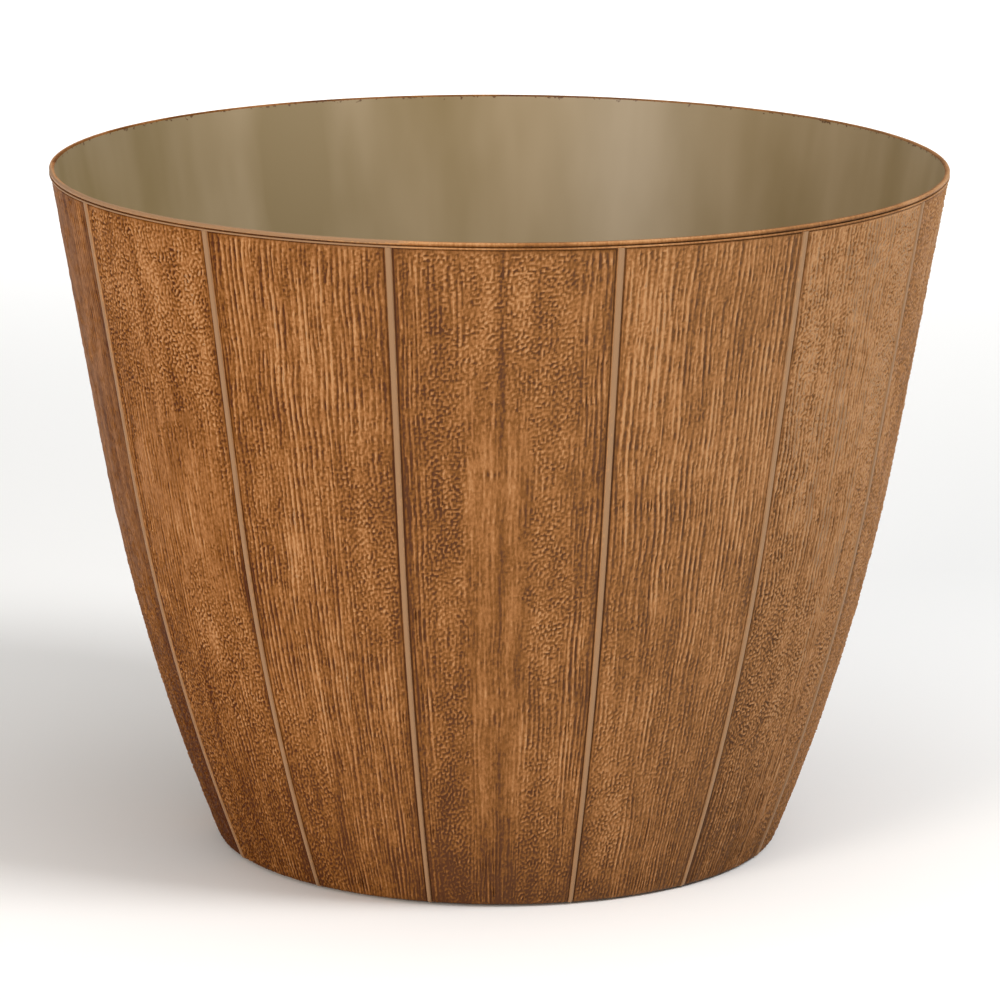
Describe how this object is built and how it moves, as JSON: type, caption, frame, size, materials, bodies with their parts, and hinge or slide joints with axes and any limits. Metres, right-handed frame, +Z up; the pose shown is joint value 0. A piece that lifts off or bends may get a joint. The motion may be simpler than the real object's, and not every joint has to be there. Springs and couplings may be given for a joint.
{
  "type": "round planter",
  "caption": "Round floor planter that tapers to its foot, with a wall moulded like wooden staves, a thin rim hoop, and a drained floor closed by push-in plugs.",
  "frame": {"origin": "centre of the circle that the foot ring stands on, at floor level", "axes": "+Z up along the planter's axis, -Y towards the viewer of the picture, where the widest stave is"},
  "size_m": [0.3938, 0.3938, 0.302],
  "materials": {
    "pot_resin": "tan resin with a rubbed dark brown wash outside, plain and smooth inside",
    "plug_rubber": "matte soft rubber"
  },
  "bodies": {
    "planter": {"pot_shell": "pot_resin"},
    "plug_1": {"drain_plug_1": "plug_rubber"},
    "plug_2": {"drain_plug_2": "plug_rubber"},
    "plug_3": {"drain_plug_3": "plug_rubber"},
    "plug_4": {"drain_plug_4": "plug_rubber"}
  },
  "joints": [
    {"name": "plug_1_pull", "type": "slide", "parent": "planter", "child": "plug_1", "axis": [0, 0, 1], "range_m": [0, 0.025]},
    {"name": "plug_2_pull", "type": "slide", "parent": "planter", "child": "plug_2", "axis": [0, 0, 1], "range_m": [0, 0.025]},
    {"name": "plug_3_pull", "type": "slide", "parent": "planter", "child": "plug_3", "axis": [0, 0, 1], "range_m": [0, 0.025]},
    {"name": "plug_4_pull", "type": "slide", "parent": "planter", "child": "plug_4", "axis": [0, 0, 1], "range_m": [0, 0.025]}
  ]
}
